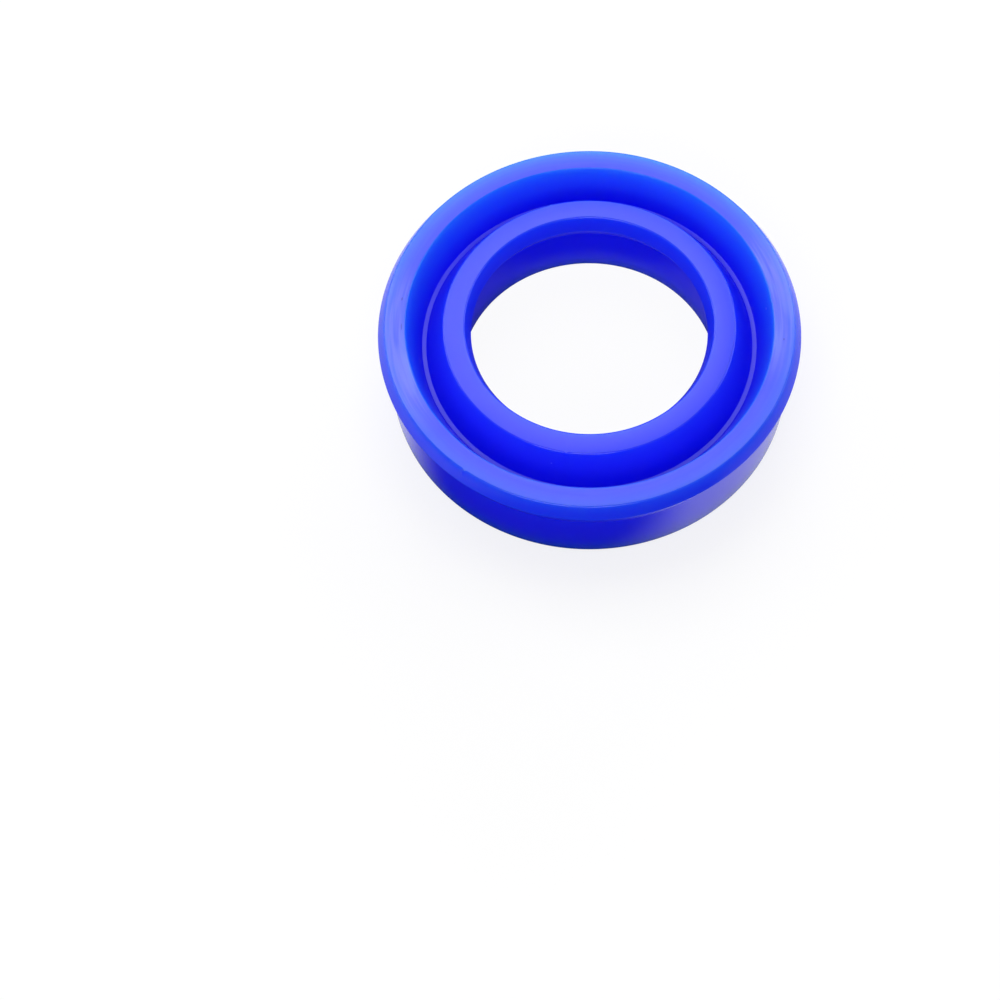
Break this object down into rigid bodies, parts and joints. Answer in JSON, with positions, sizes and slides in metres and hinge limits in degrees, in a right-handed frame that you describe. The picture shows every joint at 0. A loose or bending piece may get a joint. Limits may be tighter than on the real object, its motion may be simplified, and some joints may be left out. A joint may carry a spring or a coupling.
{
  "type": "u cup seal",
  "caption": "Moulded polyurethane ring with a U-shaped section: a solid heel and two flared lips that seal a moving rod in its bore.",
  "frame": {"origin": "centre of the heel's face, on the seal's axis", "axes": "+Z along the seal's axis, from the heel towards the open lips; X and Y lie in the heel's face"},
  "size_m": [0.0414, 0.0414, 0.01],
  "materials": {
    "polyurethane": "smooth satin, slightly translucent, royal blue cast polyurethane"
  },
  "bodies": {
    "root": {"seal_ring": "polyurethane"}
  },
  "joints": []
}
